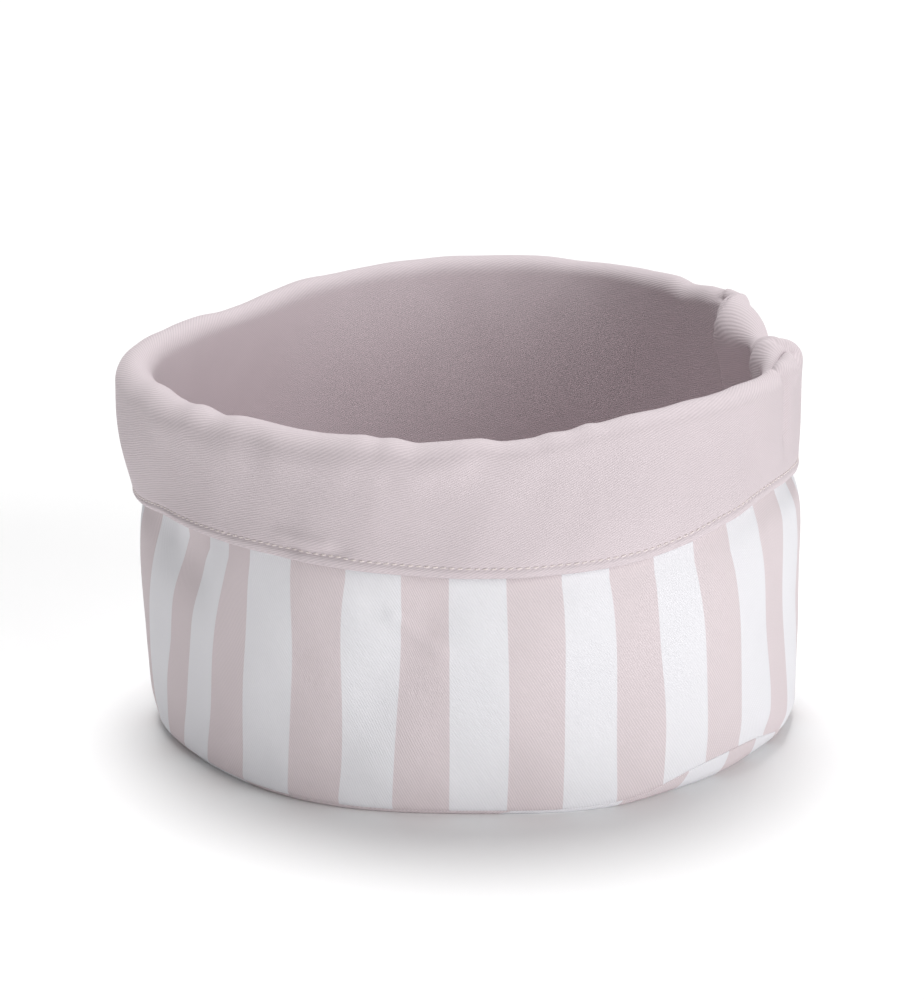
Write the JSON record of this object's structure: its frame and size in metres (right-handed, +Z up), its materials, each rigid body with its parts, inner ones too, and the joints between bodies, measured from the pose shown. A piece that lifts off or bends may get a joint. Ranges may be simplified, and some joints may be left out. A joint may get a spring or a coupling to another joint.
{
  "type": "bread bag",
  "caption": "Round lined cloth bread bag with striped sides and base, and a plain lining folded down outside as a stitched cuff.",
  "frame": {"origin": "centre of the round base on its underside, where the bag rests on the table", "axes": "+Z up out of the open mouth, -Y towards the front of the picture, +X to its right"},
  "size_m": [0.2629, 0.2617, 0.1532],
  "materials": {
    "striped_cotton": "matte cotton twill with pale pink and white stripes",
    "plain_cotton": "matte plain pale pink cotton twill"
  },
  "bodies": {
    "root": {"shell_side": "striped_cotton", "shell_base": "striped_cotton", "lining_side": "plain_cotton", "lining_base": "plain_cotton"}
  },
  "joints": []
}
